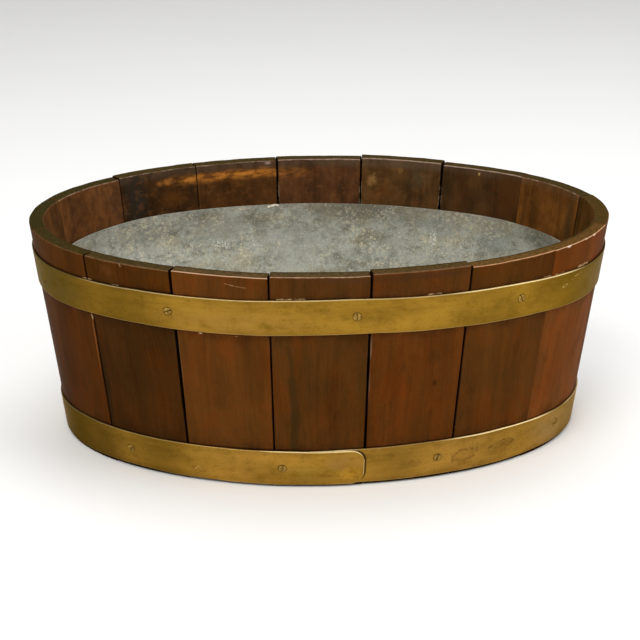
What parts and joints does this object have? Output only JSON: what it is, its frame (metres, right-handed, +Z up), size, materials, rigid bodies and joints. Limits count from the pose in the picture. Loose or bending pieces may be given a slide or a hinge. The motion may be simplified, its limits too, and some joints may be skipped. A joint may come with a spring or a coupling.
{
  "type": "wooden planter",
  "caption": "Oval coopered wooden planter with splayed staves, lapped brass hoops held by countersunk screws, and a loose lift-out sheet-zinc liner.",
  "frame": {"origin": "on the floor, in the middle of the oval, under the rim's centre", "axes": "+X along the oval's length to the viewer's right, +Y to the back, +Z up"},
  "size_m": [0.6098, 0.3981, 0.2392],
  "materials": {
    "mahogany": "dark reddish mahogany, worn waxed satin finish, pale worn arrises",
    "base_wood": "plain unfinished boards, dusty",
    "brass_hoop": "aged unlacquered brass strip, satin with brown patina",
    "brass_screw": "aged slotted countersunk brass wood screw",
    "zinc": "dull mottled zinc sheet with pale oxide spots"
  },
  "bodies": {
    "tub": {"stave_01": "mahogany", "stave_02": "mahogany", "stave_03": "mahogany", "stave_04": "mahogany", "stave_05": "mahogany", "stave_06": "mahogany", "stave_07": "mahogany", "stave_08": "mahogany", "stave_09": "mahogany", "stave_10": "mahogany", "stave_11": "mahogany", "stave_12": "mahogany", "stave_13": "mahogany", "stave_14": "mahogany", "stave_15": "mahogany", "stave_16": "mahogany", "base_board_front": "base_wood", "base_board_middle": "base_wood", "base_board_back": "base_wood", "base_dowels": "base_wood", "upper_hoop": "brass_hoop", "lower_hoop": "brass_hoop", "upper_hoop_screws": "brass_screw", "lower_hoop_screws": "brass_screw"},
    "liner": {"liner_wall": "zinc", "liner_base": "zinc"}
  },
  "joints": [
    {"name": "liner_lift", "type": "slide", "parent": "tub", "child": "liner", "axis": [0, 0, 1], "range_m": [0, 0.25]}
  ]
}
